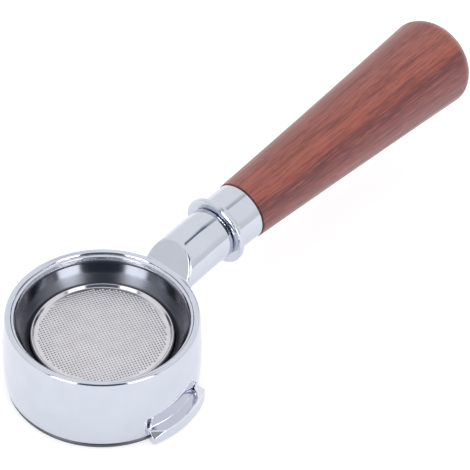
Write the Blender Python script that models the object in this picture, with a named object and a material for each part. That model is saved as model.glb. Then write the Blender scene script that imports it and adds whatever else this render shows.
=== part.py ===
# Bottomless portafilter, modelled as it stands on a table: basket mouth down,
# open underside up. Units are metres, +Z up, the handle runs along +X.
import bpy
import bmesh
from math import sin, cos, pi, radians
from mathutils import Vector, Matrix

MM = 0.001

# ---- driving dimensions (mm) -------------------------------------------------
RING_R_FOOT = 31.08      # ring outer radius just above the basket rim
RING_R_MAX = 31.65       # widest part of the slightly barrel-shaped wall
RING_R_TOP = 30.3        # outer radius under the rounded top edge
RING_Z0 = 2.15           # ring end face, above the basket rim
RING_Z1 = 28.3           # top of the ring
MOUTH_R = 28.0           # inner edge of the top opening
BORE_R = 26.3            # bore around the basket
THROAT_R = 23.05         # narrowest point, just around the basket floor
GROOVE_R = 27.45         # spring groove
GROOVE_Z = 8.2
BASKET_R = 25.7          # basket wall at its mouth
BASKET_FLOOR_R = 22.45
BASKET_FLOOR_Z = 19.3
BASKET_RIM_R = 30.7
SHEET = 0.8              # basket sheet
WIRE_R = 0.55
LUG_R = 34.6
LUG_A0, LUG_A1 = -108.0, -64.0   # degrees from the handle
LIP_Z = 5.4              # top of the lug before its tread is cut
TREAD_Z = 5.3            # flat tread of the lug
HANDLE_TILT = 4.35       # degrees, handle rises away from the ring
AXIS_Z = 26.15           # handle axis height over the ring's axis
NECK_R = 9.15
NECK_END = 50.4          # stations along the handle axis, from the ring's axis
FLANGE_R = 12.05
FLANGE_0, FLANGE_1 = 51.5, 53.6
FERRULE_R = 10.07
FERRULE_END = 64.2
GRIP_0 = 65.0
GRIP_R0 = 10.4
GRIP_TAPER = 0.0534      # radius gained per mm
GRIP_BELLY = 0.0000714   # and its curvature
BUTT_0, BUTT_1 = 164.8, 175.7
STUD_R = 4.8
STUD_0, STUD_1 = 37.5, 86.0
STUD_BORE_R = 5.15
INSERT_R = 6.4
INSERT_1 = 90.0
FACET_TILT = 62.0        # sloped flat of the neck, degrees from level
FACET_X, FACET_Z = 29.4, 28.2    # a point it runs through

TILT = radians(HANDLE_TILT)


def grip_radius(s):
    d = s - GRIP_0
    return GRIP_R0 + GRIP_TAPER * d + GRIP_BELLY * d * d


def butt_profile(n):
    pts = []
    for i in range(n + 1):
        u = sin(0.5 * pi * i / n)
        s = BUTT_0 + (BUTT_1 - BUTT_0) * u
        pts.append((s, grip_radius(s) * max(0.0, 1.0 - u ** 1.87) ** (1.0 / 1.56)))
    return pts


X_MAX = max(s * cos(TILT) + r * sin(TILT) for s, r in butt_profile(40))
RING_X = -0.5 * (X_MAX - RING_R_MAX)     # ring axis, so the whole part is centred in X

for ob in list(bpy.data.objects):
    bpy.data.objects.remove(ob, do_unlink=True)


# ---- helpers -----------------------------------------------------------------
def material(name, colour, rough, metal):
    m = bpy.data.materials.new(name)
    m.use_nodes = True
    b = m.node_tree.nodes["Principled BSDF"]
    b.inputs["Base Color"].default_value = (*colour, 1.0)
    b.inputs["Roughness"].default_value = rough
    b.inputs["Metallic"].default_value = metal
    return m


def to_object(name, bm, parent=None, mat=None):
    bmesh.ops.recalc_face_normals(bm, faces=bm.faces)
    if bm.calc_volume(signed=True) < 0:
        bmesh.ops.reverse_faces(bm, faces=bm.faces)
    me = bpy.data.meshes.new(name)
    bm.to_mesh(me)
    bm.free()
    ob = bpy.data.objects.new(name, me)
    bpy.context.scene.collection.objects.link(ob)
    if parent is not None:
        ob.parent = parent
    if mat is not None:
        me.materials.append(mat)
        me.shade_smooth()
        me.set_sharp_from_angle(angle=radians(32))
    return ob


def turned(profile, steps, axis="Z", start=0.0):
    """Turn a closed (radius, height) outline, in mm, about Z or about X."""
    bm = bmesh.new()
    rings = []
    for r, h in profile:
        if r < 1e-6:
            p = (0, 0, h) if axis == "Z" else (h, 0, 0)
            rings.append([bm.verts.new(Vector(p) * MM)])
            continue
        row = []
        for i in range(steps):
            a = start + 2 * pi * i / steps
            p = (r * cos(a), r * sin(a), h) if axis == "Z" else (h, r * cos(a), r * sin(a))
            row.append(bm.verts.new(Vector(p) * MM))
        rings.append(row)
    n = len(rings)
    for k in range(n):
        a, b = rings[k], rings[(k + 1) % n]
        if len(a) == 1 and len(b) == 1:
            continue
        for i in range(steps):
            j = (i + 1) % steps
            if len(a) == 1:
                bm.faces.new((a[0], b[j], b[i]))
            elif len(b) == 1:
                bm.faces.new((a[i], a[j], b[0]))
            else:
                bm.faces.new((a[i], a[j], b[j], b[i]))
    return bm


def sector(section, a0, a1, n, rise=0.0):
    """Block bent round the ring: outline of (radius, height) in mm, angles in degrees.
    Points given as (radius, height, True) climb by `rise` towards the second angle."""
    bm = bmesh.new()
    rows = []
    for i in range(n + 1):
        t = i / n
        a = radians(a0 + (a1 - a0) * t)
        rows.append([bm.verts.new(Vector((p[0] * cos(a), p[0] * sin(a),
                                          p[1] + (rise * t if len(p) > 2 else 0.0))) * MM) for p in section])
    for p, q in zip(rows, rows[1:]):
        for k in range(len(p)):
            m = (k + 1) % len(p)
            bm.faces.new((p[k], p[m], q[m], q[k]))
    bm.faces.new(rows[0])
    bm.faces.new(list(reversed(rows[-1])))
    return bm


def apply_boolean(ob, bm, operation, parent):
    """Cut or join a helper solid, which stays behind as a hidden wire guide."""
    tool = to_object(ob.name + "_guide", bm, parent)
    tool.hide_render = True
    tool.display_type = "WIRE"
    tool.hide_set(True)
    mod = ob.modifiers.new(operation.lower(), "BOOLEAN")
    mod.operation = operation
    mod.solver = "EXACT"
    mod.object = tool
    return tool


def empty(name, matrix):
    e = bpy.data.objects.new(name, None)
    bpy.context.scene.collection.objects.link(e)
    e.matrix_world = matrix
    return e


chrome = material("plated_casting", (0.72, 0.74, 0.79), 0.06, 1.0)
collar = material("plated_collar", (0.72, 0.74, 0.79), 0.05, 1.0)
steel = material("basket_steel", (0.58, 0.57, 0.59), 0.28, 1.0)
wire = material("spring_wire", (0.50, 0.50, 0.52), 0.30, 1.0)
rod = material("stud_steel", (0.55, 0.55, 0.57), 0.35, 1.0)
brass = material("insert_brass", (0.72, 0.53, 0.24), 0.35, 1.0)
wood = material("grip_wood", (0.30, 0.10, 0.07), 0.42, 0.0)
rubber = material("washer_rubber", (0.02, 0.02, 0.022), 0.6, 0.0)
fibre = material("washer_fibre", (0.03, 0.026, 0.026), 0.7, 0.0)

ring_frame = empty("ring_axis", Matrix.Translation((RING_X * MM, 0, 0)))
handle_frame = empty("handle_axis", Matrix.Translation((RING_X * MM, 0, AXIS_Z * MM))
                     @ Matrix.Rotation(-TILT, 4, "Y"))
bpy.context.view_layer.update()

# ---- head: ring, lugs and neck in one casting ---------------------------------
outline = [
    (26.5, RING_Z0), (30.7, RING_Z0), (RING_R_FOOT, 2.6), (31.45, 5.6), (RING_R_MAX, 10.5),
    (31.55, 16.0), (31.2, 22.0), (30.65, 26.4), (RING_R_TOP, 27.6), (29.8, RING_Z1), (29.2, RING_Z1),
    (MOUTH_R, 26.8), (27.45, 25.5)]
for i in range(1, 6):                       # hollow flare down to the throat
    t = i / 6.0
    outline.append((27.45 - 4.2 * t + 2.2 * t * (1 - t), 25.5 - 6.9 * t - 1.7 * t * (1 - t)))
outline += [(23.2, 18.6), (THROAT_R, 18.2), (23.2, 17.5), (BORE_R, 13.0), (BORE_R, GROOVE_Z + 0.9),
            (GROOVE_R, GROOVE_Z + 0.9), (GROOVE_R, GROOVE_Z - 0.9), (BORE_R, GROOVE_Z - 0.9)]
RING_STEPS = 56
head = to_object("head", turned(outline, RING_STEPS), ring_frame, chrome)

# neck stub: a tilted bar, trimmed to the ring's wall and to the sloped flat
neck_bar = turned([(0, 20.0), (NECK_R, 20.0), (NECK_R, NECK_END - 0.7), (NECK_R - 0.6, NECK_END), (0, NECK_END)],
                  32, "X", pi / 32)
neck = to_object("neck_bar", neck_bar, handle_frame)
neck.hide_render = True
neck.display_type = "WIRE"
neck.hide_set(True)
apply_boolean(neck, turned([(0, -5), (30.0, -5), (30.0, 60), (0, 60)], RING_STEPS), "DIFFERENCE", ring_frame)
flat = bmesh.new()
c = FACET_Z * cos(radians(FACET_TILT)) - FACET_X * sin(radians(FACET_TILT))
bmesh.ops.create_cube(flat, size=1.0, matrix=Matrix.Rotation(radians(-FACET_TILT), 4, "Y")
                      @ Matrix.Translation((0.03, 0, (c + 20.0) * MM)) @ Matrix.Diagonal((0.16, 0.06, 0.04, 1)))
apply_boolean(neck, flat, "DIFFERENCE", ring_frame)
apply_boolean(neck, turned([(0, 36.0), (STUD_BORE_R, 36.0), (STUD_BORE_R, 60.0), (0, 60.0)], 24, "X"),
              "DIFFERENCE", handle_frame)
join = head.modifiers.new("neck", "BOOLEAN")
join.operation = "UNION"
join.solver = "EXACT"
join.object = neck

# bayonet lugs: a flat tread with a raised stop at its far end, under a shallow recess in the wall
for turn in (0.0, 180.0):
    a0, a1 = LUG_A0 + turn, LUG_A1 + turn
    tray = [(31.15, 0.95), (LUG_R, 0.95), (LUG_R, LIP_Z), (29.6, LIP_Z), (29.6, 2.5), (31.15, 2.5)]
    stop = [(29.4, 3.2), (34.3, 3.2), (34.3, 5.9), (31.3, 7.2), (29.4, 7.2)]
    recess = [(30.95, TREAD_Z), (36.0, TREAD_Z), (36.0, 10.6, True), (30.85, 10.6, True)]
    apply_boolean(head, sector(tray, a0, a1, 10), "UNION", ring_frame)
    apply_boolean(head, sector(stop, a1 - 5.5, a1 - 0.3, 2), "UNION", ring_frame)
    apply_boolean(head, sector(recess, a0 + 1.5, a1 - 5.0, 8, 3.2), "DIFFERENCE", ring_frame)

# ---- basket -------------------------------------------------------------------
cup = [(0, BASKET_FLOOR_Z), (21.4, BASKET_FLOOR_Z), (21.95, 20.0), (22.25, 20.2), (22.55, 20.1),   # floor inside a raised border
       (22.7, 19.8), (BASKET_FLOOR_R + 0.1, 18.2)]
cup += [(BASKET_R, 8.4), (BASKET_R, 2.5), (26.1, 1.85), (30.0, 1.85), (30.5, 1.7), (BASKET_RIM_R, 1.2),
        (BASKET_RIM_R, 0.5), (30.45, 0.0), (29.3, 0.0), (29.1, 0.25), (29.1, 1.05), (25.7, 1.05),
        (BASKET_R - SHEET, 1.9), (BASKET_R - SHEET, 8.2), (BASKET_FLOOR_R - SHEET, 17.7),
        (20.9, BASKET_FLOOR_Z - SHEET), (0, BASKET_FLOOR_Z - SHEET)]
to_object("basket", turned(cup, 48), ring_frame, steel)

# ---- basket spring: open ring of wire in the groove ------------------------------
arc = bpy.data.curves.new("basket_spring", "CURVE")
arc.dimensions = "3D"
arc.bevel_depth = WIRE_R * MM
arc.bevel_resolution = 1
arc.use_fill_caps = True
line = arc.splines.new("POLY")
SPRING_N = 34
line.points.add(SPRING_N)
for i, pt in enumerate(line.points):
    a = radians(195.0 + 330.0 * i / SPRING_N)
    pt.co = (26.57 * MM * cos(a), 26.57 * MM * sin(a), GROOVE_Z * MM, 1.0)
spring = bpy.data.objects.new("basket_spring", arc)
bpy.context.scene.collection.objects.link(spring)
spring.parent = ring_frame
arc.materials.append(wire)

# ---- parts on the handle axis ------------------------------------------------------
to_object("neck_washer", turned([(5.5, 50.65), (8.3, 50.65), (8.3, 51.9), (5.5, 51.9)], 32, "X"), handle_frame, rubber)
to_object("ferrule", turned([
    (5.5, 52.15), (8.9, 52.15), (9.3, 51.9), (11.5, FLANGE_0 - 0.2), (FLANGE_R, FLANGE_0 + 0.4), (FLANGE_R, FLANGE_1 - 0.6),
    (11.5, FLANGE_1 - 0.1), (10.5, FLANGE_1 + 0.3), (FERRULE_R, FLANGE_1 + 0.9), (FERRULE_R, FERRULE_END - 0.3),
    (FERRULE_R - 0.3, FERRULE_END), (5.5, FERRULE_END)], 40, "X"), handle_frame, collar)
to_object("grip_washer", turned([(5.5, 64.4), (9.85, 64.4), (9.85, 64.8), (5.5, 64.8)], 36, "X"), handle_frame, fibre)

grip = [(6.75, GRIP_0), (GRIP_R0 - 0.35, GRIP_0), (GRIP_R0, GRIP_0 + 0.35)]
for i in range(1, 9):
    s = GRIP_0 + (BUTT_0 - GRIP_0) * i / 9.0
    grip.append((grip_radius(s), s))
grip += [(r, s) for s, r in butt_profile(9)[:-1]] + [(0, BUTT_1), (0, INSERT_1 + 2.0), (6.75, INSERT_1 + 2.0)]
to_object("handle_grip", turned(grip, 36, "X", -pi / 2), handle_frame, wood)
to_object("handle_insert", turned([(STUD_BORE_R, GRIP_0 + 0.4), (INSERT_R, GRIP_0 + 0.4), (INSERT_R, INSERT_1),
                                   (STUD_BORE_R, INSERT_1)], 24, "X"), handle_frame, brass)
to_object("handle_stud", turned([(0, STUD_0), (STUD_R - 0.7, STUD_0), (STUD_R, STUD_0 + 0.8), (STUD_R, STUD_1 - 0.8),
                                 (STUD_R - 0.7, STUD_1), (0, STUD_1)], 24, "X"), handle_frame, rod)
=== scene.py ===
from math import acos, ceil, cos, pi, radians, sin, sqrt, tan

import bpy
import numpy as np
from mathutils import Matrix, Vector


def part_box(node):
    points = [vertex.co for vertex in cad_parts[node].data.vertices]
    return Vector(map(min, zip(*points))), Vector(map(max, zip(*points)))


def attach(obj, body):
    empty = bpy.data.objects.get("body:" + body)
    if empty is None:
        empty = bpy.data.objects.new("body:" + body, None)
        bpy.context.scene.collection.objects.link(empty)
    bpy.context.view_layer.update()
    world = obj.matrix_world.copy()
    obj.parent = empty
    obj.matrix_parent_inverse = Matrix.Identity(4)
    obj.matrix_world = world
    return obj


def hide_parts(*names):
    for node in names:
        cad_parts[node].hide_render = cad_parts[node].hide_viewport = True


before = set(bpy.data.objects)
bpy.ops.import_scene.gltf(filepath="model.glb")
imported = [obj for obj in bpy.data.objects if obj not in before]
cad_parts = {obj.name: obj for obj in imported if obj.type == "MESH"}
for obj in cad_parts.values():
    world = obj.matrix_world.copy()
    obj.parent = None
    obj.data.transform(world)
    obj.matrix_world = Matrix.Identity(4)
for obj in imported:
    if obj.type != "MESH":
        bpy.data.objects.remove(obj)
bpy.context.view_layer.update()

MM = 0.001

# ---- places taken from the frame -------------------------------------------------
_lo, _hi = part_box("basket")
RING_X = 0.5 * (_lo.x + _hi.x)            # ring axis, metres
TILT = radians(4.35)                      # handle axis over the table
AXIS_Z = 26.15                            # its height over the ring axis, mm
NECK_R = 9.12
NECK_END = 51.34
FACET, FACET_X = radians(62.0), 29.4       # sloped flat of the neck, and where it meets the rim
LUG_A0, LUG_A1 = radians(-108.0), radians(-64.0)

RING = Matrix.Translation((RING_X, 0, 0))
HANDLE = Matrix.Translation((RING_X, 0, AXIS_Z * MM)) @ Matrix.Rotation(-TILT, 4, "Y")


# ---- mesh helpers ----------------------------------------------------------------
def to_object(name, co, faces, mat, place, normals=None):
    """Mesh from points in mm in the `place` frame; the points end up in the row frame."""
    m = np.array(place)
    co = np.asarray(co, float) * MM @ m[:3, :3].T + m[:3, 3]
    me = bpy.data.meshes.new(name)
    me.from_pydata(co.tolist(), [], faces)
    me.update()
    me.shade_smooth()
    if normals is not None:
        me.normals_split_custom_set_from_vertices((np.asarray(normals) @ m[:3, :3].T).tolist())
    ob = bpy.data.objects.new(name, me)
    bpy.context.scene.collection.objects.link(ob)
    me.materials.append(mat)
    return ob


def rounded(points, fine=9.0):
    """Closed outline from (a, b, fillet): corners become arcs with a support point on either side."""
    pts = [np.array(p[:2], float) for p in points]
    fil = [p[2] if len(p) > 2 else 0.0 for p in points]
    out = []
    n = len(pts)
    for i in range(n):
        p, q, s = pts[i], pts[i - 1], pts[(i + 1) % n]
        if fil[i] <= 0:
            out.append(p)
            continue
        d0, d1 = q - p, s - p
        l0, l1 = np.hypot(*d0), np.hypot(*d1)
        d0, d1 = d0 / l0, d1 / l1
        ang = acos(max(-1.0, min(1.0, float(d0 @ d1))))
        if ang > pi - 0.02:
            out.append(p)
            continue
        t = min(fil[i] / tan(ang / 2), 0.42 * l0, 0.42 * l1)
        f = t * tan(ang / 2)
        mid = d0 + d1
        c = p + mid / np.hypot(*mid) * f / sin(ang / 2)
        sweep = pi - ang
        k = max(2, ceil(sweep / radians(fine)))
        u, v = p + d0 * t - c, p + d1 * t - c
        step = min(f * sweep / k, 0.05 * l0 + 1e-3, 0.05 * l1 + 1e-3)
        out.append(p + d0 * (t + step))
        for j in range(k + 1):
            w = j / k
            out.append(c + (sin((1 - w) * sweep) * u + sin(w * sweep) * v) / sin(sweep))
        out.append(p + d1 * (t + step))
    return np.array(out)


def outline_normals(P):
    """Outward normals of a closed outline, each neighbour weighted by its closeness."""
    e = np.roll(P, -1, 0) - P
    l = np.maximum(np.hypot(e[:, 0], e[:, 1]), 1e-9)
    area = 0.5 * np.sum(P[:, 0] * np.roll(P[:, 1], -1) - np.roll(P[:, 0], -1) * P[:, 1])
    n = np.c_[e[:, 1], -e[:, 0]] / l[:, None] * (1 if area > 0 else -1)
    w = 1 / l
    v = n * w[:, None] + np.roll(n * w[:, None], 1, 0)
    return v / np.maximum(np.hypot(v[:, 0], v[:, 1]), 1e-9)[:, None], area


def turned(name, outline, steps, axis, mat, place, wobble=None):
    """Turns a closed (radius, height) outline about Z or X, with exact shading normals."""
    P = np.array(outline, float)
    N, area = outline_normals(P)
    a = np.arange(steps) * 2 * pi / steps
    rows, start = [], []
    co, no = [], []
    for (r, h), (nr, nh) in zip(P, N):
        start.append(len(co))
        if r < 1e-6:
            rows.append(1)
            co.append((0, 0, h))
            no.append((0, 0, 1.0 if nh > 0 else -1.0))
        else:
            rows.append(steps)
            rr = r if wobble is None else r + wobble(a, h)
            co.extend(np.c_[rr * np.cos(a), rr * np.sin(a), np.full(steps, h)].tolist())
            no.extend(np.c_[nr * np.cos(a), nr * np.sin(a), np.full(steps, nh)].tolist())
    faces = []
    m = len(P)
    for k in range(m):
        q = (k + 1) % m
        s0, s1 = start[k], start[q]
        if rows[k] == 1 and rows[q] == 1:
            continue
        for i in range(steps):
            j = (i + 1) % steps
            if rows[k] == 1:
                f = (s0, s1 + j, s1 + i)
            elif rows[q] == 1:
                f = (s0 + i, s0 + j, s1)
            else:
                f = (s0 + i, s0 + j, s1 + j, s1 + i)
            faces.append(f if area > 0 else f[::-1])
    co, no = np.array(co), np.array(no)
    if axis == "X":                      # (x, y, z) -> (z, x, y): the outline's height runs along X
        co, no = co[:, [2, 0, 1]], no[:, [2, 0, 1]]
    return to_object(name, co, faces, mat, place, no)


# ---- material helpers --------------------------------------------------------------
class Nodes:
    """Short names for building a node tree."""

    def __init__(self, name):
        self.mat = bpy.data.materials.new(name)
        self.mat.use_nodes = True
        self.t = self.mat.node_tree
        self.bsdf = self.t.nodes["Principled BSDF"]

    def add(self, kind, **props):
        n = self.t.nodes.new(kind)
        for k, v in props.items():
            setattr(n, k, v)
        return n

    def put(self, node, **values):
        for k, v in values.items():
            key = k.replace("_", " ")
            sock = node.inputs[int(k[1:])] if k[0] == "i" and k[1:].isdigit() else node.inputs[key]
            if hasattr(v, "node"):
                self.t.links.new(v, sock)
            else:
                sock.default_value = v
        return node

    def math(self, op, a, b=0.0, clamp=False):
        n = self.add("ShaderNodeMath", operation=op, use_clamp=clamp)
        self.put(n, i0=a, i1=b)
        return n.outputs[0]

    def remap(self, v, a, b, c, d, kind="SMOOTHSTEP"):
        n = self.add("ShaderNodeMapRange", interpolation_type=kind)
        self.put(n, i0=v, i1=a, i2=b, i3=c, i4=d)
        return n.outputs[0]

    def noise(self, vec, scale, detail=3.0, rough=0.5, distort=0.0):
        n = self.add("ShaderNodeTexNoise")
        self.put(n, Vector=vec, Scale=scale, Detail=detail, Roughness=rough, Distortion=distort)
        return n.outputs[0]

    def ramp(self, v, stops):
        n = self.add("ShaderNodeValToRGB")
        e = n.color_ramp.elements
        while len(e) < len(stops):
            e.new(0.5)
        for s, (p, c) in zip(e, stops):
            s.position = p
            s.color = (*c, 1.0)
        self.put(n, i0=v)
        return n.outputs[0]

    def mix(self, f, a, b, mode="MIX"):
        n = self.add("ShaderNodeMix", data_type="RGBA", blend_type=mode)
        self.put(n, i0=f)
        for sock, v in ((n.inputs[6], a), (n.inputs[7], b)):
            if hasattr(v, "node"):
                self.t.links.new(v, sock)
            else:
                sock.default_value = (*v, 1.0)
        return n.outputs[2]

    def place(self, loc=(0, 0, 0), rot=(0, 0, 0), scale=(1, 1, 1)):
        """Object coordinates seen from a frame standing at loc, turned by rot."""
        tc = self.add("ShaderNodeTexCoord")
        m = self.add("ShaderNodeMapping", vector_type="TEXTURE")
        self.put(m, Vector=tc.outputs["Object"], Location=loc, Rotation=rot)
        if scale == (1, 1, 1):
            return m.outputs[0]
        k = self.add("ShaderNodeMapping", vector_type="POINT")
        self.put(k, Vector=m.outputs[0], Scale=scale)
        return k.outputs[0]

    def bump(self, height, strength, distance):
        n = self.add("ShaderNodeBump")
        self.put(n, Height=height, Strength=strength, Distance=distance)
        self.t.links.new(n.outputs[0], self.bsdf.inputs["Normal"])


RING_AT = (RING_X, 0, 0)
HANDLE_AT, HANDLE_ROT = (RING_X, 0, AXIS_Z * MM), (0, -TILT, 0)


def plated(name, satin_bowl):
    """Polished plating: faint cloudiness, hairline polishing marks; the casting's bowl is satin low down, its flare
    is tinted dark as painted shade, and the lug tops are tinted bright as painted light.
    """
    k = Nodes(name)
    at = k.place(RING_AT)
    cloud = k.noise(at, 140.0, 4.0, 0.55)
    fine = k.noise(k.place(RING_AT, scale=(1.0, 1.0, 14.0)), 900.0, 2.0, 0.6)
    rough = k.math("ADD", k.remap(cloud, 0.3, 0.75, 0.035, 0.075), k.math("MULTIPLY", fine, 0.012))
    if satin_bowl:
        sep = k.add("ShaderNodeSeparateXYZ")
        k.put(sep, Vector=at)
        rr = k.math("SQRT", k.math("ADD", k.math("POWER", sep.outputs[0], 2.0), k.math("POWER", sep.outputs[1], 2.0)))
        inside = k.remap(rr, 0.0261, 0.0253, 0.0, 1.0)
        flare_satin_painted_shade = k.math("MULTIPLY", k.remap(rr, 0.02752, 0.02740, 0.0, 1.0), k.remap(sep.outputs[2], 0.0168, 0.0176, 0.0, 1.0))
        above = k.remap(sep.outputs[2], 0.0172, 0.0182, 0.0, 1.0)
        below = k.remap(sep.outputs[2], 0.0182, 0.0172, 0.0, 1.0)
        satin = k.math("MULTIPLY", inside, above)
        rough = k.math("ADD", rough, k.math("MULTIPLY", satin, 0.15))
        rough = k.math("ADD", rough, k.math("MULTIPLY", k.math("MULTIPLY", below, k.remap(rr, 0.0285, 0.0275, 0.0, 1.0)), 0.2))
    if satin_bowl:
        rough = k.math("ADD", rough, k.math("MULTIPLY", flare_satin_painted_shade, 0.085))
    tint = k.mix(k.remap(cloud, 0.35, 0.7, 0.0, 1.0), (0.572, 0.597, 0.668), (0.588, 0.613, 0.684))
    if satin_bowl:
        # painted shade: the inside of the bowl's flare is tinted dark, standing in for the shade in the hollow
        tint = k.mix(flare_satin_painted_shade, tint, (0.140, 0.148, 0.172))
        # the lugs' top faces and the relief over them are tinted brighter: painted light standing in for their
        # reflections
        along = k.math("ADD", k.math("MULTIPLY", sep.outputs[0], 0.0698), k.math("MULTIPLY", sep.outputs[1], -0.9976))
        across = k.math("MULTIPLY", k.math("ADD", k.math("MULTIPLY", sep.outputs[0], 0.9976), k.math("MULTIPLY", sep.outputs[1], 0.0698)),
                        k.math("SIGN", along))
        upper = k.math("SUBTRACT", k.math("ADD", k.math("MULTIPLY", across, 0.267), 0.0134), sep.outputs[2])
        upper = k.math("MINIMUM", upper, k.math("SUBTRACT", k.math("SUBTRACT", 0.0190, across), sep.outputs[2]))
        lug_painted_light = k.math("MULTIPLY", k.remap(k.math("ABSOLUTE", along), 0.0284, 0.0290, 0.0, 1.0), k.remap(upper, -0.0001, 0.0003, 0.0, 1.0))
        lug_painted_light = k.math("MULTIPLY", lug_painted_light, k.remap(sep.outputs[2], 0.0049, 0.0052, 0.0, 1.0))
        tint = k.mix(lug_painted_light, tint, (0.690, 0.702, 0.768))
    k.put(k.bsdf, Base_Color=tint, Roughness=rough, Metallic=1.0)
    k.bump(k.noise(at, 2600.0, 2.0, 0.5), 0.02, 0.00002)
    return k.mat


def sheet_steel():
    """Pressed basket steel: warm satin and drawn marks round the wall; the rolled rim at the foot and the wall down
    inside the casting are tinted dark as painted shade.
    """
    k = Nodes("basket_sheet")
    at = k.place(RING_AT)
    sep = k.add("ShaderNodeSeparateXYZ")
    k.put(sep, Vector=at)
    rr = k.math("SQRT", k.math("ADD", k.math("POWER", sep.outputs[0], 2.0), k.math("POWER", sep.outputs[1], 2.0)))
    rim = k.math("MULTIPLY", k.remap(rr, 0.0296, 0.0302, 0.0, 1.0), k.remap(sep.outputs[2], 0.0025, 0.0021, 0.0, 1.0))
    cloud = k.noise(at, 190.0, 4.0, 0.6)
    drawn = k.noise(k.place(RING_AT, scale=(1.0, 1.0, 22.0)), 420.0, 3.0, 0.6)
    col = k.mix(k.remap(cloud, 0.3, 0.75, 0.0, 1.0), (0.60, 0.585, 0.615), (0.66, 0.645, 0.675))
    # painted shade: the rolled rim at the foot is tinted near black, standing in for the shade it sits in
    col = k.mix(rim, col, (0.115, 0.122, 0.140))
    # painted shade: the basket's wall down inside the casting is tinted dark, standing in for the shade in the gap
    # between them
    wall = k.math("MULTIPLY", k.remap(rr, 0.02305, 0.02325, 0.0, 1.0), k.remap(sep.outputs[2], 0.0030, 0.0040, 0.0, 1.0))
    col = k.mix(wall, col, (0.26, 0.27, 0.30))
    rough = k.math("ADD", k.remap(cloud, 0.3, 0.75, 0.085, 0.13), k.math("MULTIPLY", drawn, 0.03))
    rough = k.math("ADD", rough, k.math("MULTIPLY", rim, 0.22))
    k.put(k.bsdf, Base_Color=col, Roughness=rough, Metallic=1.0)
    k.bump(drawn, 0.03, 0.00003)
    return k.mat


def grip_wood():
    """Reddish hardwood turned along the grain: growth layers through the blank, streaks, fibres, pores, satin oil."""
    k = Nodes("grip_wood_grain")
    at = k.place(HANDLE_AT, HANDLE_ROT)
    sep = k.add("ShaderNodeSeparateXYZ")
    k.put(sep, Vector=at)
    waver = k.noise(k.place(HANDLE_AT, HANDLE_ROT, (16.0, 60.0, 60.0)), 1.0, 3.0, 0.55)
    band = k.noise(k.place(HANDLE_AT, HANDLE_ROT, (7.0, 240.0, 240.0)), 1.0, 3.0, 0.6, 0.5)
    fibre = k.noise(k.place(HANDLE_AT, HANDLE_ROT, (13.0, 1150.0, 1150.0)), 1.0, 4.0, 0.65)
    tick = k.noise(k.place(HANDLE_AT, HANDLE_ROT, (210.0, 1900.0, 1900.0)), 1.0, 2.0, 0.5)
    hair = k.noise(k.place(HANDLE_AT, HANDLE_ROT, (24.0, 2250.0, 2250.0)), 1.0, 2.0, 0.55)
    pore = k.noise(k.place(HANDLE_AT, HANDLE_ROT, (60.0, 2100.0, 2100.0)), 1.0, 2.0, 0.5)
    # growth layers lie flat across the blank; the ramp runs through 36 mm of them
    layer = k.math("SUBTRACT", k.math("MULTIPLY", sep.outputs[1], -0.840), k.math("MULTIPLY", sep.outputs[2], 0.5425))
    layer = k.math("ADD", layer, k.math("MULTIPLY", k.math("SUBTRACT", waver, 0.5), 0.0045))
    layer = k.math("ADD", layer, k.math("MULTIPLY", k.math("SUBTRACT", band, 0.5), 0.0030))
    col = k.ramp(k.math("ADD", k.math("MULTIPLY", layer, 1 / 0.036), 0.5), [
        (0.00, (0.193, 0.055, 0.047)), (0.12, (0.256, 0.079, 0.065)), (0.19, (0.198, 0.057, 0.051)), (0.27, (0.280, 0.087, 0.073)),
        (0.37, (0.289, 0.084, 0.065)), (0.405, (0.217, 0.059, 0.048)), (0.445, (0.289, 0.081, 0.061)), (0.53, (0.275, 0.068, 0.047)),
        (0.595, (0.217, 0.049, 0.036)), (0.645, (0.124, 0.027, 0.027)), (0.69, (0.127, 0.030, 0.032)), (0.74, (0.179, 0.051, 0.050)),
        (0.84, (0.193, 0.059, 0.056)), (0.90, (0.159, 0.046, 0.043)), (1.00, (0.232, 0.071, 0.065))])
    col = k.mix(k.remap(band, 0.53, 0.63, 0.0, 0.46), col, (0.122, 0.031, 0.029))
    col = k.mix(k.remap(fibre, 0.54, 0.70, 0.0, 0.55), col, (0.365, 0.116, 0.080))
    col = k.mix(k.remap(fibre, 0.47, 0.33, 0.0, 0.52), col, (0.105, 0.028, 0.027))
    col = k.mix(k.remap(tick, 0.54, 0.68, 0.0, 0.16), col, (0.100, 0.027, 0.025))
    col = k.mix(k.remap(hair, 0.52, 0.66, 0.0, 0.36), col, (0.365, 0.120, 0.084))
    col = k.mix(k.remap(hair, 0.48, 0.34, 0.0, 0.48), col, (0.085, 0.023, 0.025))
    dots = k.remap(pore, 0.68, 0.75, 0.0, 0.5)
    col = k.mix(dots, col, (0.060, 0.018, 0.018))
    rough = k.math("ADD", k.remap(band, 0.3, 0.7, 0.33, 0.43), k.math("MULTIPLY", dots, 0.12))
    k.put(k.bsdf, Base_Color=col, Roughness=rough)
    k.bsdf.inputs["IOR"].default_value = 1.42
    k.bsdf.inputs["Coat Weight"].default_value = 0.12
    k.bsdf.inputs["Coat Roughness"].default_value = 0.30
    h = k.math("SUBTRACT", k.math("MULTIPLY", fibre, 0.5), dots)
    k.bump(h, 0.12, 0.00010)
    return k.mat


def dark_seal(name, colour, grain):
    k = Nodes(name)
    n = k.noise(k.place(HANDLE_AT, HANDLE_ROT), grain, 4.0, 0.6)
    k.put(k.bsdf, Base_Color=k.mix(n, tuple(0.6 * c for c in colour), tuple(1.5 * c for c in colour)),
          Roughness=k.remap(n, 0.3, 0.7, 0.5, 0.72))
    k.bump(n, 0.12, 0.00005)
    return k.mat


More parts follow.
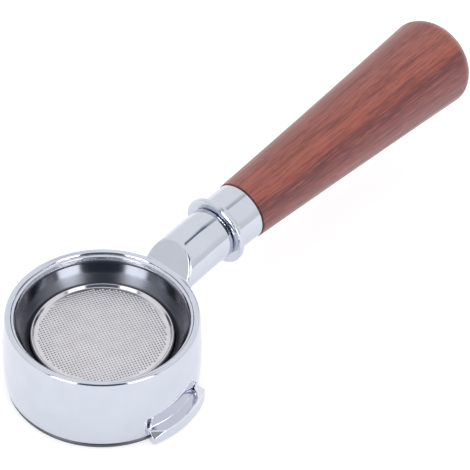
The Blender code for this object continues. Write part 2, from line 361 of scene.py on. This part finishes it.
def machined(name, colour, rough, at, rot, along):
    """Turned or drawn metal: fine marks across `along` and a little tarnish."""
    k = Nodes(name)
    n = k.noise(k.place(at, rot, along), 1.0, 4.0, 0.6)
    t = k.noise(k.place(at, rot), 230.0, 4.0, 0.6)
    k.put(k.bsdf, Base_Color=k.mix(k.remap(t, 0.35, 0.7, 0.0, 1.0), colour, tuple(0.72 * c for c in colour)),
          Roughness=k.remap(n, 0.3, 0.7, rough - 0.06, rough + 0.08), Metallic=1.0)
    k.bump(n, 0.08, 0.00003)
    return k.mat


M_HEAD = plated("head_plating", True)
M_COLLAR = plated("collar_plating", False)
M_BASKET = sheet_steel()
M_WOOD = grip_wood()
M_RUBBER = dark_seal("seal_rubber", (0.012, 0.012, 0.014), 1500.0)
M_FIBRE = dark_seal("washer_fibre_grain", (0.030, 0.024, 0.024), 2600.0)
M_STUD = machined("stud_turning", (0.50, 0.50, 0.52), 0.32, HANDLE_AT, HANDLE_ROT, (1500.0, 120.0, 120.0))
M_BRASS = machined("insert_turning", (0.66, 0.47, 0.20), 0.34, HANDLE_AT, HANDLE_ROT, (1800.0, 120.0, 120.0))
M_WIRE = machined("spring_drawn", (0.46, 0.46, 0.48), 0.30, RING_AT, (0, 0, 0), (300.0, 300.0, 2500.0))


# ---- head: one casting, from a distance field on a grid bent round the ring ---------
def wall_radius(z):
    return 31.65 - np.where(z > 11.0, 0.00372, 0.0074) * (z - 11.0) ** 2


CROWN_C, CROWN_R = (29.53, 27.1), 1.15


def ring_outline():
    pts = [(26.5, 2.15, 0.3), (float(wall_radius(2.15)), 2.15, 0.4)]
    pts += [(float(wall_radius(z)), float(z)) for z in np.arange(3.4, 26.7, 0.9)]
    for d in np.linspace(7.0, 160.0, 36):
        a = radians(d)
        pts.append((CROWN_C[0] + CROWN_R * cos(a), CROWN_C[1] + CROWN_R * sin(a)))
    pts += [(28.42, 27.16, 0.08), (28.10, 27.10, 0.10), (27.72, 26.86, 0.26), (27.58, 26.10, 0.10), (27.46, 25.66, 0.12), (27.28, 25.52, 0.10)]
    for t in np.linspace(0.0, 1.0, 22)[1:-1]:        # hollow flare
        pts.append((27.28 - 4.18 * t + 0.75 * t * (1 - t), 25.40 - 6.82 * t - 0.45 * t * (1 - t)))
    pts += [(23.10, 18.58, 0.2), (23.05, 18.15, 0.2), (23.28, 17.5, 0.3), (26.3, 13.0, 0.6), (26.3, 9.1, 0.1), (27.45, 9.1, 0.2),
            (27.45, 7.3, 0.2), (26.3, 7.3, 0.1)]
    return rounded(pts, 6.0)


def outline_distance(P, r, z):
    """Signed distance to a closed outline, negative inside."""
    d2 = np.full(r.shape, 1e9)
    inside = np.zeros(r.shape, bool)
    for a, b in zip(P, np.roll(P, -1, 0)):
        e = b - a
        ll = float(e @ e)
        if ll < 1e-16:
            continue
        wr, wz = r - a[0], z - a[1]
        t = np.clip((wr * e[0] + wz * e[1]) / ll, 0, 1)
        d2 = np.minimum(d2, (wr - t * e[0]) ** 2 + (wz - t * e[1]) ** 2)
        if abs(e[1]) > 1e-12:
            inside ^= ((a[1] > z) != (b[1] > z)) & (r < a[0] + wz * e[0] / e[1])
    return np.where(inside, -1, 1) * np.sqrt(d2)


class Table:
    """Smooth (cubic) lookup of an outline's distance."""

    def __init__(self, P, r0, r1, z0, z1, h):
        self.r0, self.z0, self.h = r0, z0, h
        self.nr, self.nz = int(round((r1 - r0) / h)) + 1, int(round((z1 - z0) / h)) + 1
        r, z = np.meshgrid(r0 + h * np.arange(self.nr), z0 + h * np.arange(self.nz), indexing="ij")
        self.v = outline_distance(P, r, z)

    def __call__(self, r, z):
        u = np.clip((r - self.r0) / self.h, 1, self.nr - 2.001)
        v = np.clip((z - self.z0) / self.h, 1, self.nz - 2.001)
        far = np.hypot(r - (self.r0 + u * self.h), z - (self.z0 + v * self.h))
        i, j = u.astype(int), v.astype(int)
        u, v = u - i, v - j

        def weights(t):
            return (((-0.5 * t + 1.0) * t - 0.5) * t, (1.5 * t - 2.5) * t * t + 1.0,
                    ((-1.5 * t + 2.0) * t + 0.5) * t, (0.5 * t - 0.5) * t * t)

        wu, wv = weights(u), weights(v)
        out = 0.0
        for a in range(4):
            row = 0.0
            for b in range(4):
                row = row + wv[b] * self.v[np.clip(i + a - 1, 0, self.nr - 1), np.clip(j + b - 1, 0, self.nz - 1)]
            out = out + wu[a] * row
        return out + far


def smin(a, b, k):
    h = np.maximum(k - np.abs(a - b), 0.0) / k
    return np.minimum(a, b) - h * h * k * 0.25


def smax(a, b, k):
    return -smin(-a, -b, k)


def rmax(a, b, r):
    """Corner of two faces with a true round."""
    return np.minimum(np.maximum(a, b), -r) + np.hypot(np.maximum(a + r, 0), np.maximum(b + r, 0))


def step01(x, a, b):
    t = np.clip((x - a) / (b - a), 0, 1)
    return t * t * (3 - 2 * t)


ring_table = Table(ring_outline(), 20.0, 37.0, -1.0, 32.0, 0.05)
LUG = np.array([(31.5, 1.25), (34.3, 1.25), (34.3, 5.20), (30.6, 5.15), (30.2, 5.15), (30.2, 2.9), (31.5, 2.9)])
lug_table = Table(LUG, 26.0, 40.0, -4.0, 16.0, 0.1)
CUT_N, CUT_D = (-0.4295, -0.4506, 0.7826), 22.15          # small sloped facet at each lug's leading end


def head_distance(x, y, z):
    r = np.hypot(x, y)
    az = np.arctan2(y, x)
    f = ring_table(r, z)
    # lugs, the second one half a turn on
    lug = np.where(y > 0, az - pi, az)
    mid, half = 0.5 * (LUG_A0 + LUG_A1), 0.5 * (LUG_A1 - LUG_A0)
    side = (np.abs(lug - mid) - half) * r
    near = np.abs(lug - mid) < half + 0.25
    if near.any():
        k = near
        rk, zk, lk, sk = r[k], z[k], lug[k], side[k]
        turn = np.where(y[k] > 0, -1.0, 1.0)
        cut = CUT_N[0] * turn * x[k] + CUT_N[1] * turn * y[k] + CUT_N[2] * zk - CUT_D
        body = rmax(lug_table(rk, zk) - 0.2, sk, 0.3)
        body = np.maximum(body, np.hypot(np.maximum(sk + 0.9, 0), np.maximum(rk - 33.6, 0)) - 0.9)
        body = rmax(body, cut, 0.15)
        # stop: a lip along the outer edge that swings inward and closes the far end
        t = np.clip((lk - radians(-75.5)) / radians(8.5), 0, 1)
        inner = 33.85 - 2.7 * t ** 1.8
        rise = 5.05 + 0.40 * (34.4 - rk) + 0.9 * step01(lk, radians(-89), radians(-75))
        stop = smax((inner - rk) * 0.9, np.maximum(zk - rise, 3.0 - zk) * 0.91, 0.25)
        stop = rmax(stop, np.maximum(rk - 34.4, (lk - LUG_A1 + 0.003) * rk), 0.25)
        stop = np.maximum(stop, (radians(-89) - lk) * rk)
        body = smin(body, stop, 0.3)
        # relief over the lug: flush with the wall along its upper edge, deepest at the lug; a slot at its leading end
        rim = 10.4 + 8.4 * (lk - radians(-106))
        top = np.minimum(rim, 8.8 + (radians(-65.5) - lk) * 31.4)
        foot = 30.90
        slope = (zk - 5.3) / (rim - 5.3)
        rec = np.maximum.reduce([foot + (wall_radius(zk) - foot) * slope - rk, 4.8 - zk, zk - top,
                                 (radians(-106.4) - lk) * rk, (lk - radians(-65.6)) * rk])
        g = smin(smax(f[k], -rec, 0.14), body, 0.18)
        slot = np.maximum.reduce([np.abs(lk - radians(-108.0)) * rk - 0.62, np.abs(zk - 8.1) - 2.1, 28.9 - rk])
        g = smax(g, -slot, 0.2)
        f = f.copy()
        f[k] = g
    # neck
    near = (x > 22.0) & (np.abs(y) < 14.0) & (z > 10.0)
    if near.any():
        k = near
        xk, yk, zk, rk = x[k], y[k], z[k], r[k]
        sag = -0.05 * ((43.0 - xk) + np.sqrt((43.0 - xk) ** 2 + 4.0))
        s = xk * cos(TILT) + (zk - AXIS_Z) * sin(TILT)
        e = -xk * sin(TILT) + (zk - AXIS_Z) * cos(TILT)
        bar = np.hypot(yk, e - sag) - NECK_R
        bar = rmax(bar, s - NECK_END, 0.4)
        flat = (zk - 28.2) * cos(FACET) - (xk - FACET_X) * sin(FACET)
        bar = smax(smax(bar, flat, 0.7), 27.9 - rk, 0.5)
        bore = np.maximum(np.hypot(yk, e) - 5.15, 36.0 - s)
        g = smin(f[k], bar, 0.5 + 2.6 * step01(zk, 27.4, 24.5) * step01(rk, 29.2, 31.2))
        f = f.copy()
        f[k] = smax(g, -bore, 0.25)
    return f


def head_mesh():
    """Dual mesh of the field, then every point pulled onto the surface along the gradient."""
    th = np.arange(448) * 2 * pi / 448 - pi
    rs = np.concatenate([np.arange(22.0, 27.0, 0.5), np.arange(27.0, 30.9, 0.12), np.arange(30.9, 31.2, 0.15), np.arange(31.2, 35.3, 0.2),
                         np.arange(35.3, 52.3, 0.6)])
    zs = np.concatenate([np.arange(0.3, 7.6, 0.2), np.arange(7.6, 14.2, 0.4), np.arange(14.2, 25.0, 0.6), np.arange(25.0, 28.5, 0.12), np.arange(28.5, 28.9, 0.2),
                         np.arange(28.9, 41.0, 0.5)])
    nt, nr, nz = len(th), len(rs), len(zs)
    T, R, Z = np.meshgrid(th, rs, zs, indexing="ij")
    F = head_distance((R * np.cos(T)).ravel(), (R * np.sin(T)).ravel(), Z.ravel()).reshape(nt, nr, nz)
    neg = F < 0

    def corner(A, i, j, k):
        A = np.roll(A, -1, 0) if i else A
        return A[:, j:nr - 1 + j, k:nz - 1 + k]

    n_in = sum(corner(neg, i, j, k).astype(np.int8) for i in (0, 1) for j in (0, 1) for k in (0, 1))
    active = (n_in > 0) & (n_in < 8)
    idx = -np.ones(active.shape, np.int64)
    idx[active] = np.arange(active.sum())
    acc = np.zeros((active.sum(), 3))
    cnt = np.zeros(active.sum())
    ci, cj, ck = np.nonzero(active)
    dt = 2 * pi / nt
    for a in (0, 1):
        for b in (0, 1):
            for axis in range(3):
                lo = [a, b]
                lo.insert(axis, 0)
                hi = list(lo)
                hi[axis] = 1
                f0 = F[(ci + lo[0]) % nt, cj + lo[1], ck + lo[2]]
                f1 = F[(ci + hi[0]) % nt, cj + hi[1], ck + hi[2]]
                hit = (f0 < 0) != (f1 < 0)
                w = np.where(hit, f0 / np.where(hit, f0 - f1, 1.0), 0.0)
                p0 = np.c_[th[ci] + lo[0] * dt, rs[cj + lo[1]], zs[ck + lo[2]]]
                p1 = np.c_[th[ci] + hi[0] * dt, rs[cj + hi[1]], zs[ck + hi[2]]]
                acc += np.where(hit[:, None], p0 + (p1 - p0) * w[:, None], 0.0)
                cnt += hit
    acc /= cnt[:, None]
    co = np.c_[acc[:, 1] * np.cos(acc[:, 0]), acc[:, 1] * np.sin(acc[:, 0]), acc[:, 2]]

    def gradient(c, h):
        g = np.zeros_like(c)
        for d in np.array([(1, 1, 1), (1, -1, -1), (-1, 1, -1), (-1, -1, 1)], float):
            v = head_distance(*(c + h * d).T)
            g += v[:, None] * d
        return g / (4 * h)

    for _ in range(3):
        v = head_distance(*co.T)
        g = gradient(co, 0.03)
        gg = np.maximum((g * g).sum(1), 0.2)
        stepv = -(v / gg)[:, None] * g
        ln = np.linalg.norm(stepv, axis=1)
        co += stepv * np.minimum(1.0, 0.3 / np.maximum(ln, 1e-9))[:, None]
    g = gradient(co, 0.05)
    no = g / np.maximum(np.linalg.norm(g, axis=1), 1e-9)[:, None]

    quads = []
    # edges along the angle
    s = neg[:, 1:-1, 1:-1] != np.roll(neg, -1, 0)[:, 1:-1, 1:-1]
    i, j, k = np.nonzero(s)
    flip = neg[i, j + 1, k + 1]
    q = np.c_[idx[i, j, k], idx[i, j + 1, k], idx[i, j + 1, k + 1], idx[i, j, k + 1]]
    quads.append(np.where(flip[:, None], q, q[:, ::-1]))
    # edges along the radius
    s = neg[:, :-1, 1:-1] != neg[:, 1:, 1:-1]
    i, j, k = np.nonzero(s)
    flip = neg[i, j, k + 1]
    h = (i - 1) % nt
    q = np.c_[idx[h, j, k], idx[h, j, k + 1], idx[i, j, k + 1], idx[i, j, k]]
    quads.append(np.where(flip[:, None], q, q[:, ::-1]))
    # edges along Z
    s = neg[:, 1:-1, :-1] != neg[:, 1:-1, 1:]
    i, j, k = np.nonzero(s)
    flip = neg[i, j + 1, k]
    h = (i - 1) % nt
    q = np.c_[idx[h, j, k], idx[i, j, k], idx[i, j + 1, k], idx[h, j + 1, k]]
    quads.append(np.where(flip[:, None], q, q[:, ::-1]))
    q = np.concatenate(quads)
    return co, q, no


co, quads, no = head_mesh()
# the sign of one face against its gradient fixes the winding of all
e0, e1 = co[quads[:, 1]] - co[quads[:, 0]], co[quads[:, 2]] - co[quads[:, 0]]
if np.median((np.cross(e0, e1) * no[quads[:, 0]]).sum(1)) < 0:
    quads = quads[:, ::-1]
head = to_object("head_casting", co, quads.tolist(), M_HEAD, RING, no)
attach(head, "head")
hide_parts("head")

# ---- basket: turned cup with a punched floor --------------------------------------------
FLOOR_Z, FLOOR_T = 19.3, 0.7
PERF_R, PITCH, HOLE_R, DIMPLE_R, DOME = 20.75, 0.963, 0.17, 0.43, 0.6
PLAIN_R = 21.05                              # edge of the flat part


def punched_floor():
    """Slightly domed disc of radius PLAIN_R with a square field of dimpled holes, as one closed-off sheet.
    Returns points, faces, and the outer edge loops (top and bottom)."""
    from mathutils.geometry import delaunay_2d_cdt
    K = 8
    turn = radians(65.5)
    centres = []
    n = int(PERF_R / PITCH) + 2
    for j in range(-n, n + 1):
        for i in range(-n, n + 1):
            u, v = (i + 0.5) * PITCH, (j + 0.5) * PITCH
            if u * u + v * v < (PERF_R - 0.4) ** 2:
                centres.append((u * cos(turn) - v * sin(turn), u * sin(turn) + v * cos(turn)))
    co, faces, key = [], [], {}

    def vert(p):
        q = (round(p[0], 4), round(p[1], 4), round(p[2], 4))
        if q not in key:
            key[q] = len(co)
            co.append(p)
        return key[q]

    ang = [turn + 2 * pi * i / K for i in range(K)]
    cell = [PITCH / 2 if i % 2 == 0 else PITCH / sqrt(2) for i in range(K)]
    edges = {}
    for cx, cy in centres:
        for z, sgn in ((FLOOR_Z, 1), (FLOOR_Z - FLOOR_T, -1)):
            rings = [[vert((cx + cell[i] * cos(a), cy + cell[i] * sin(a), z)) for i, a in enumerate(ang)]]
            prof = ((DIMPLE_R, 0.0), (DIMPLE_R - 0.07, 0.03), (HOLE_R + 0.09, 0.12), (HOLE_R, 0.22)) if sgn > 0 else ((HOLE_R, 0.0),)
            for rad, dep in prof:
                rings.append([vert((cx + rad * cos(a), cy + rad * sin(a), z - sgn * dep)) for a in ang])
            for p, q in zip(rings, rings[1:]):
                for i in range(K):
                    j = (i + 1) % K
                    f = (p[i], p[j], q[j], q[i])
                    faces.append(f if sgn > 0 else f[::-1])
            for i in range(K):
                j = (i + 1) % K
                e = (rings[0][i], rings[0][j])
                if sgn > 0:
                    edges[frozenset(e)] = None if frozenset(e) in edges else e
            if sgn > 0:
                top = rings[-1]
            else:
                for i in range(K):
                    j = (i + 1) % K
                    faces.append((top[i], top[j], rings[-1][j], rings[-1][i]))
    # border between the field's stepped edge and the plain rim
    border = [e for e in edges.values() if e]
    ids = sorted({v for e in border for v in e})
    pos = {v: n for n, v in enumerate(ids)}
    n_rim = 192
    pts = [Vector(co[v][:2]) for v in ids] + [Vector((PLAIN_R * cos(2 * pi * i / n_rim), PLAIN_R * sin(2 * pi * i / n_rim))) for i in range(n_rim)]
    segs = [(pos[a], pos[b]) for a, b in border] + [(len(ids) + i, len(ids) + (i + 1) % n_rim) for i in range(n_rim)]
    v2, _, f2, *_ = delaunay_2d_cdt(pts, segs, [], 2, 1e-7)
    grid = np.array(centres)
    loops = []
    for z, sgn in ((FLOOR_Z, 1), (FLOOR_Z - FLOOR_T, -1)):
        names = [vert((p.x, p.y, z)) for p in v2]
        for f in f2:
            c = sum((v2[i] for i in f), Vector((0, 0))) / len(f)
            d = grid - np.array((c.x, c.y))
            k = int(np.argmin((d * d).sum(1)))
            # a triangle inside a hole's own square cell is already there
            w = d[k]
            t = turn
            a, b = -(w[0] * cos(t) + w[1] * sin(t)), -(-w[0] * sin(t) + w[1] * cos(t))
            if max(abs(a), abs(b)) < PITCH / 2 + 1e-3:
                continue
            g = [names[i] for i in f]
            area = sum(v2[f[i]].x * v2[f[(i + 1) % len(f)]].y - v2[f[(i + 1) % len(f)]].x * v2[f[i]].y for i in range(len(f)))
            faces.append(tuple(g if (area > 0) == (sgn > 0) else g[::-1]))
        loops.append([vert((PLAIN_R * cos(2 * pi * i / n_rim), PLAIN_R * sin(2 * pi * i / n_rim), z)) for i in range(n_rim)])
    co = [(x, y, z + DOME * max(0.0, 1 - (x * x + y * y) / PLAIN_R ** 2)) for x, y, z in co]
    return co, faces, loops, n_rim


def basket_mesh():
    co, faces, (top, bottom), n = punched_floor()
    outer = [(PLAIN_R, FLOOR_Z)]
    # a plain band, then the raised, rounded border of the dished floor
    for p in rounded([(PLAIN_R, FLOOR_Z - 1.0), (22.75, 17.0), (22.75, FLOOR_Z + 0.55, 0.35), (22.25, FLOOR_Z + 0.95, 0.25), (21.45, FLOOR_Z, 0.3),
                      (PLAIN_R, FLOOR_Z)], 8.0)[::-1][1:]:
        if p[1] > FLOOR_Z - 0.7:
            outer.append(tuple(p))
    tail = [outer[-1], (25.7, 8.4, 3.0), (25.7, 2.4, 0.35), (26.2, 1.85, 0.3), (30.1, 1.85, 0.5), (30.7, 1.3, 0.4), (30.7, 0.5, 0.4),
            (30.45, 0.02, 0.35), (29.3, 0.02, 0.3), (29.1, 1.05, 0.3), (25.6, 1.05, 0.4), (24.95, 2.0, 0.4), (24.95, 8.2, 3.0),
            (22.3, 17.7, 0.0)]
    mid = rounded(tail, 10.0)[1:]
    inner = []
    for d in np.linspace(74, 0, 9):
        a = radians(d)
        inner.append((PLAIN_R + 0.05 + 1.0 * sin(a), FLOOR_Z - FLOOR_T - 0.85 * (1 - cos(a))))
    P = np.array([tuple(p) for p in outer] + [tuple(p) for p in mid[:-1]] + inner + [(PLAIN_R, FLOOR_Z - FLOOR_T)])
    rows = [top]
    for r, h in P[1:-1]:
        s = len(co)
        co.extend((r * cos(2 * pi * i / n), r * sin(2 * pi * i / n), h) for i in range(n))
        rows.append(list(range(s, s + n)))
    rows.append(bottom)
    for p, q in zip(rows, rows[1:]):
        for i in range(n):
            j = (i + 1) % n
            faces.append((p[i], p[j], q[j], q[i])[::-1])
    return np.array(co), faces


co, faces = basket_mesh()
basket = to_object("filter_basket", co, faces, M_BASKET, RING)
basket.data.set_sharp_from_angle(angle=radians(38))
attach(basket, "basket")
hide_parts("basket")


# ---- basket spring: wire bent into an open ring with rounded ends ----------------------------
def wire_mesh():
    n, m, w = 180, 14, 0.53
    co, faces = [], []
    t = np.linspace(0, 1, n + 1)
    a = radians(195.0) + radians(330.0) * t
    path = np.c_[26.57 * np.cos(a), 26.57 * np.sin(a), np.full(n + 1, 8.2)]
    tan_ = np.c_[-np.sin(a), np.cos(a), np.zeros(n + 1)]
    out = np.c_[np.cos(a), np.sin(a), np.zeros(n + 1)]
    ends = [(0, -1), (n, 1)]
    for i in range(n + 1):
        for j in range(m):
            b = 2 * pi * j / m
            co.append(path[i] + w * (cos(b) * out[i] + sin(b) * np.array((0, 0, 1.0))))
    for i in range(n):
        for j in range(m):
            k = (j + 1) % m
            faces.append((i * m + j, i * m + k, (i + 1) * m + k, (i + 1) * m + j))
    for i, sgn in ends:
        prev = list(range(i * m, i * m + m))
        for d in (30, 60):
            ring = []
            for j in range(m):
                b = 2 * pi * j / m
                ring.append(len(co))
                co.append(path[i] + w * cos(radians(d)) * (cos(b) * out[i] + sin(b) * np.array((0, 0, 1.0))) + sgn * tan_[i] * w * sin(radians(d)))
            for j in range(m):
                k = (j + 1) % m
                f = (prev[j], prev[k], ring[k], ring[j])
                faces.append(f if sgn > 0 else f[::-1])
            prev = ring
        tip = len(co)
        co.append(path[i] + sgn * tan_[i] * w)
        for j in range(m):
            k = (j + 1) % m
            f = (prev[j], prev[k], tip)
            faces.append(f if sgn > 0 else f[::-1])
    return np.array(co), [f[::-1] for f in faces]


co, faces = wire_mesh()
spring = to_object("retaining_wire", co, faces, M_WIRE, RING)
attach(spring, "head")
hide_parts("basket_spring")

# ---- pieces on the handle axis -----------------------------------------------------------------
seal = turned("neck_seal", rounded([(5.5, 51.37, 0.03), (8.9, 51.37, 0.04), (8.9, 51.49, 0.04), (5.5, 51.49, 0.03)]), 96, "X", M_RUBBER, HANDLE)
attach(seal, "head")
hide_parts("neck_washer")

collar = turned("flanged_collar", rounded([
    (5.5, 51.52, 0.2), (9.3, 51.52, 0.2), (10.9, 51.36, 0.4), (11.4, 51.36, 0.4), (12.05, 51.8, 0.5), (12.05, 53.1, 0.7),
    (11.3, 53.65, 0.5), (10.35, 53.95, 0.6), (10.07, 54.7, 0.5), (10.07, 64.36, 0.25), (5.5, 64.36, 0.2)], 6.0), 160, "X", M_COLLAR, HANDLE)
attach(collar, "ferrule")
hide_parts("ferrule")

washer = turned("grip_joint_washer", rounded([(5.5, 64.4, 0.1), (9.95, 64.4, 0.12), (9.95, 64.8, 0.12), (5.5, 64.8, 0.1)]), 120, "X", M_FIBRE, HANDLE)
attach(washer, "ferrule")
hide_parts("grip_washer")

GRIP_0, BUTT_0, BUTT_1 = 64.85, 164.8, 175.65


def grip_radius(s):
    d = s - GRIP_0
    return 10.38 + 0.0531 * d + 0.0000714 * d * d


def grip_outline():
    pts = [(6.75, GRIP_0, 0.1), (10.37, GRIP_0, 0.3)]
    pts += [(grip_radius(s), s) for s in np.arange(GRIP_0 + 2.0, BUTT_0, 2.0)]
    for i in range(34):
        u = sin(0.5 * pi * i / 34)
        s = BUTT_0 + (BUTT_1 - BUTT_0) * u
        pts.append((grip_radius(s) * (1 - u ** 1.87) ** (1 / 1.56), s))
    pts += [(0, BUTT_1), (0, 92.0), (6.75, 92.0, 0.3)]
    return rounded(pts, 10.0)


grip = turned("wooden_grip", grip_outline(), 144, "X", M_WOOD, HANDLE)
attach(grip, "handle")
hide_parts("handle_grip")


def stud_mesh():
    """Threaded rod: rolled thread of 1.5 mm pitch with chamfered ends."""
    n, s0, s1, pitch = 60, 37.5, 86.0, 1.5
    s = np.arange(s0, s1 + 1e-6, pitch / 10)
    a = 2 * pi * np.arange(n) / n
    S, A = np.meshgrid(s, a, indexing="ij")
    ph = (S / pitch - A / (2 * pi)) % 1.0
    tri = np.clip(1.25 - 2.5 * np.abs(2 * ph - 1), 0, 1)
    r = 4.05 + 0.72 * tri
    r = np.minimum(r, 3.7 + np.minimum(S - s0, s1 - S) * 0.9)
    co = np.c_[S.ravel(), (r * np.cos(A)).ravel(), (r * np.sin(A)).ravel()]
    m = len(s)
    faces = [(i * n + j, i * n + (j + 1) % n, (i + 1) * n + (j + 1) % n, (i + 1) * n + j) for i in range(m - 1) for j in range(n)]
    faces = [f[::-1] for f in faces]
    faces.append(tuple(range(n)))
    faces.append(tuple(reversed(range((m - 1) * n, m * n))))
    return co, [f[::-1] for f in faces]


co, faces = stud_mesh()
stud = to_object("threaded_stud", co, faces, M_STUD, HANDLE)
stud.data.set_sharp_from_angle(angle=radians(50))
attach(stud, "handle")
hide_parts("handle_stud")

insert = turned("brass_insert", rounded([(5.15, 65.4, 0.3), (6.4, 65.4, 0.3), (6.4, 72.0, 0.1), (6.1, 72.4, 0.1), (6.1, 73.6, 0.1), (6.4, 74.0, 0.1),
                                         (6.4, 90.0, 0.3), (5.15, 90.0, 0.3)]), 72, "X", M_BRASS, HANDLE)
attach(insert, "handle")
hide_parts("handle_insert")

# ---- floor ------------------------------------------------------------------------------------
k = Nodes("floor_paper")
at = k.place()
g = k.noise(at, 60.0, 3.0, 0.5)
k.put(k.bsdf, Base_Color=k.mix(g, (0.56, 0.56, 0.565), (0.60, 0.60, 0.60)), Roughness=0.9)
k.bsdf.inputs["Specular IOR Level"].default_value = 0.1
k.bsdf.inputs["Emission Color"].default_value = (0.985, 0.992, 1.0, 1.0)
k.bsdf.inputs["Emission Strength"].default_value = 0.57
me = bpy.data.meshes.new("floor")
s = 4.0
me.from_pydata([(-s, -s, 0), (s, -s, 0), (s, s, 0), (-s, s, 0)], [], [(0, 1, 2, 3)])
me.materials.append(k.mat)
floor = bpy.data.objects.new("floor", me)
bpy.context.scene.collection.objects.link(floor)

# ---- camera -------------------------------------------------------------------------------------
FOCAL_PX, DIST, AZ, EL, U0, V0 = 2000.0, 646.732, -2.36132, 0.80438, 102.347, 376.716
c = DIST * np.array([cos(AZ) * cos(EL), sin(AZ) * cos(EL), sin(EL)])
fw = -c / np.linalg.norm(c)
rt = np.cross(fw, [0, 0, 1.0])
rt /= np.linalg.norm(rt)
up = np.cross(rt, fw)
R0 = np.array([rt, -up, fw])
d = np.array([(U0 - 235.0) / FOCAL_PX, (V0 - 235.0) / FOCAL_PX, 1.0])
d /= np.linalg.norm(d)
v = np.cross([0, 0, 1.0], d)
K = np.array([[0, -v[2], v[1]], [v[2], 0, -v[0]], [-v[1], v[0], 0]])
Rc = (np.eye(3) + K + K @ K * ((1 - d[2]) / float(v @ v))) @ R0
cam_data = bpy.data.cameras.new("camera")
cam_data.sensor_width = 36.0
cam_data.lens = FOCAL_PX / 470.0 * 36.0
cam_data.clip_end = 20.0
cam = bpy.data.objects.new("camera", cam_data)
bpy.context.scene.collection.objects.link(cam)
m = Matrix.Identity(4)
for i in range(3):
    m[i][0], m[i][1], m[i][2] = Rc[0][i], -Rc[1][i], -Rc[2][i]
    m[i][3] = c[i] * MM
m[0][3] += RING_X
cam.matrix_world = m
bpy.context.scene.camera = cam

# ---- light: a bright ceiling, a dark room and two soft boxes on the camera's side ------------------
world = bpy.data.worlds.new("studio")
bpy.context.scene.world = world
world.use_nodes = True
w = Nodes.__new__(Nodes)
w.t = world.node_tree
tc = w.add("ShaderNodeTexCoord")


def toward(vec):
    n = w.add("ShaderNodeVectorMath", operation="DOT_PRODUCT")
    w.t.links.new(tc.outputs["Generated"], n.inputs[0])
    n.inputs[1].default_value = vec
    return n.outputs["Value"]


front = toward((cos(AZ), sin(AZ), 0.0))           # towards the camera's side
right = toward((-sin(AZ), cos(AZ), 0.0))          # to the camera's right (as seen from the part)
height = toward((0.0, 0.0, 1.0))
elev = w.math("ARCSINE", height)
azim = w.math("ARCTAN2", right, front)            # 0 behind the camera
aabs = w.math("ABSOLUTE", azim)
above = w.math("SUBTRACT", radians(56), w.remap(aabs, radians(22), radians(34), 0.0, radians(16)))
ceiling = w.remap(w.math("SUBTRACT", elev, above), radians(-11), radians(11), 0.0, 1.08)
sides = w.math("MULTIPLY", w.remap(aabs, radians(54), radians(64), 0.0, 1.0), w.remap(elev, radians(10), radians(30), 0.92, 1.08))
sides = w.math("MAXIMUM", sides, w.remap(aabs, radians(108), radians(122), 0.0, 1.08))
ceiling = w.math("MAXIMUM", ceiling, sides)
below = w.remap(elev, radians(-0.5), radians(-3.0), 0.0, 1.15)
box_a = w.math("MULTIPLY", w.remap(aabs, radians(26.5), radians(28.5), 0.0, 1.0), w.remap(aabs, radians(52), radians(57), 1.0, 0.0))
box_e = w.math("MULTIPLY", w.remap(elev, radians(-2), radians(1), 0.0, 1.0),
               w.math("ADD", w.remap(elev, radians(17), radians(27), 0.6, 0.0), w.remap(elev, radians(36), radians(44), 0.4, 0.0)))
boxes = w.math("MULTIPLY", w.math("MULTIPLY", box_a, box_e), 5.6)
room = 0.13
gap_a = w.math("MULTIPLY", w.remap(azim, radians(126), radians(132), 0.0, 1.0), w.remap(azim, radians(144), radians(172), 1.0, 0.0))
gap_e = w.math("MULTIPLY", w.remap(elev, radians(57), radians(68), 0.0, 1.0), w.remap(elev, radians(82), radians(88), 1.0, 0.0))
gap = w.math("SUBTRACT", 1.0, w.math("MULTIPLY", w.math("MULTIPLY", gap_a, gap_e), 0.8))
total = w.math("MAXIMUM", w.math("MAXIMUM", room, below), w.math("MAXIMUM", w.math("MULTIPLY", ceiling, gap), boxes))
bg = world.node_tree.nodes["Background"]
w.t.links.new(total, bg.inputs["Strength"])
w.t.links.new(w.mix(w.remap(total, 0.13, 0.6, 0.0, 1.0), (0.72, 0.90, 1.22), (0.985, 0.992, 1.0)), bg.inputs["Color"])

lamp = bpy.data.lights.new("fill", "AREA")
lamp.shape = "SQUARE"
lamp.size = 1.6
lamp.energy = 2.0
fill = bpy.data.objects.new("fill", lamp)
fill.location = (0.0, 0.0, 1.3)
fill.visible_glossy = False
bpy.context.scene.collection.objects.link(fill)

view = bpy.context.scene.view_settings
view.view_transform = "Standard"
view.look = "None"
